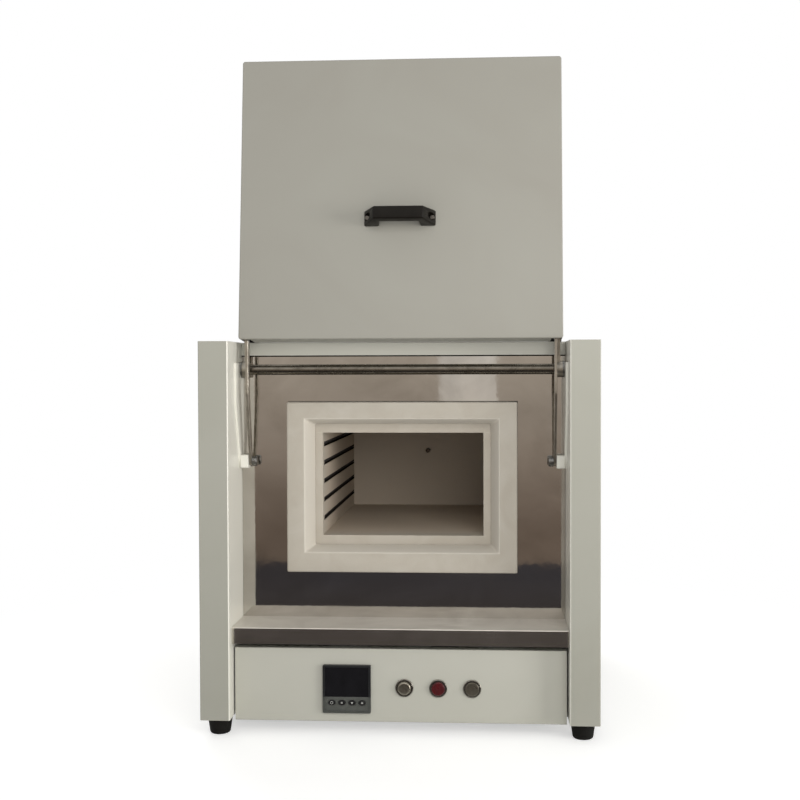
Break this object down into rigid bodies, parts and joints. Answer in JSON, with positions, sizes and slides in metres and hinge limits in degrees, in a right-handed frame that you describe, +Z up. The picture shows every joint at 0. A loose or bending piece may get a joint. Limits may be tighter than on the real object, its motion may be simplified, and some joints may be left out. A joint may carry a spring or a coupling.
{
  "type": "front-loading muffle furnace",
  "caption": "Bench muffle furnace with a parallel-lift door raised on arms, fibre-lined chamber, polished front plate, sill and a panel with controller and push buttons.",
  "frame": {"origin": "on the floor under the middle of the casing's width and depth", "axes": "+X right, +Y to the rear, +Z up; the door side faces -Y"},
  "size_m": [0.59, 0.64, 1.0202],
  "materials": {
    "casing_paint": "smooth light warm grey powder coat",
    "polished_steel": "mirror-polished stainless sheet",
    "sill_steel": "fine polished stainless sheet",
    "inner_sheet": "plain sheet",
    "fibre": "matt off-white vacuum-formed ceramic fibre",
    "element_wire": "dark oxidised resistance wire",
    "bead_ceramic": "glazed-free steatite",
    "probe_steel": "heat-tinted sheath",
    "zinc_steel": "zinc-plated steel",
    "arm_steel": "ground stainless bar",
    "black_plastic": "black moulded plastic",
    "foot_rubber": "black rubber",
    "bezel_plastic": "grey moulded frame",
    "display_dark": "dark tinted window",
    "strip_grey": "grey keypad strip",
    "key_plastic": "black keys",
    "bezel_metal": "bright plated bezels",
    "silver_cap": "silver caps",
    "red_cap": "red cap",
    "heatsink_metal": "extruded aluminium"
  },
  "bodies": {
    "housing": {"base_pan": "casing_paint", "bottom_insulation": "fibre", "button_bezels": "bezel_metal", "cable_gland": "black_plastic", "chamber_floor": "fibre", "chamber_left_wall": "fibre", "chamber_rear_wall": "fibre", "chamber_right_wall": "fibre", "chamber_roof": "fibre", "control_panel": "casing_paint", "controller_bezel": "bezel_plastic", "controller_case": "black_plastic", "display_window": "display_dark", "foot_screws": "zinc_steel", "front_plate": "polished_steel", "heating_elements": "element_wire", "inner_casing": "inner_sheet", "key_strip": "strip_grey", "left_cheek": "casing_paint", "muffle_collar": "fibre", "pivot_bolts": "zinc_steel", "pivot_brackets": "zinc_steel", "power_relay": "black_plastic", "rear_cover": "casing_paint", "rear_insulation": "fibre", "rear_screws": "zinc_steel", "relay_heatsink": "heatsink_metal", "right_cheek": "casing_paint", "rubber_feet": "foot_rubber", "shaft_bearings": "zinc_steel", "side_insulation": "fibre", "sill_plate": "sill_steel", "spring_cassettes": "zinc_steel", "terminal_beads": "bead_ceramic", "terminal_block": "black_plastic", "terminal_cover": "casing_paint", "thermocouple": "probe_steel", "top_cover": "casing_paint", "top_insulation": "fibre"},
    "lower_arms": {"left_lower_arm": "arm_steel", "right_lower_arm": "arm_steel"},
    "upper_arms": {"cross_shaft": "arm_steel", "left_upper_arm": "arm_steel", "right_upper_arm": "arm_steel", "upper_arm_pins": "zinc_steel"},
    "door": {"door_panel": "casing_paint", "door_back": "polished_steel", "door_filling": "fibre", "door_plug": "fibre", "door_brackets": "zinc_steel", "door_pins": "zinc_steel", "handle": "black_plastic", "handle_screws": "zinc_steel"},
    "power_button_body": {"power_button": "silver_cap"},
    "stop_button_body": {"stop_button": "red_cap"},
    "start_button_body": {"start_button": "silver_cap"},
    "key_1_body": {"key_1": "key_plastic"},
    "key_2_body": {"key_2": "key_plastic"},
    "key_3_body": {"key_3": "key_plastic"},
    "key_4_body": {"key_4": "key_plastic"}
  },
  "joints": [
    {"name": "door_lift", "type": "hinge", "parent": "housing", "child": "lower_arms", "pos_m": [0, -0.237, 0.406], "axis": [1, 0, 0], "range_deg": [0, 156]},
    {"name": "shaft_turn", "type": "hinge", "parent": "housing", "child": "upper_arms", "pos_m": [0, -0.237, 0.547], "axis": [1, 0, 0], "range_deg": [0, 156]},
    {"name": "door_carry", "type": "hinge", "parent": "lower_arms", "child": "door", "pos_m": [0, -0.25875, 0.62392], "axis": [1, 0, 0], "range_deg": [-150, 0]},
    {"name": "power_press", "type": "slide", "parent": "housing", "child": "power_button_body", "axis": [0, 1, 0], "range_m": [0, 0.0025], "stiffness_N_per_m": 400, "springref_m": -0.00063},
    {"name": "stop_press", "type": "slide", "parent": "housing", "child": "stop_button_body", "axis": [0, 1, 0], "range_m": [0, 0.0025], "stiffness_N_per_m": 400, "springref_m": -0.00063},
    {"name": "start_press", "type": "slide", "parent": "housing", "child": "start_button_body", "axis": [0, 1, 0], "range_m": [0, 0.0015], "stiffness_N_per_m": 400, "springref_m": -0.00038},
    {"name": "key_1_press", "type": "slide", "parent": "housing", "child": "key_1_body", "axis": [0, 1, 0], "range_m": [0, 0.0008], "stiffness_N_per_m": 500, "springref_m": -0.0002},
    {"name": "key_2_press", "type": "slide", "parent": "housing", "child": "key_2_body", "axis": [0, 1, 0], "range_m": [0, 0.0008], "stiffness_N_per_m": 500, "springref_m": -0.0002},
    {"name": "key_3_press", "type": "slide", "parent": "housing", "child": "key_3_body", "axis": [0, 1, 0], "range_m": [0, 0.0008], "stiffness_N_per_m": 500, "springref_m": -0.0002},
    {"name": "key_4_press", "type": "slide", "parent": "housing", "child": "key_4_body", "axis": [0, 1, 0], "range_m": [0, 0.0008], "stiffness_N_per_m": 500, "springref_m": -0.0002}
  ],
  "couplings": [
    {"joint": "shaft_turn", "follows": "door_lift", "ratio": 1},
    {"joint": "door_carry", "follows": "door_lift", "ratio": -0.96154}
  ]
}
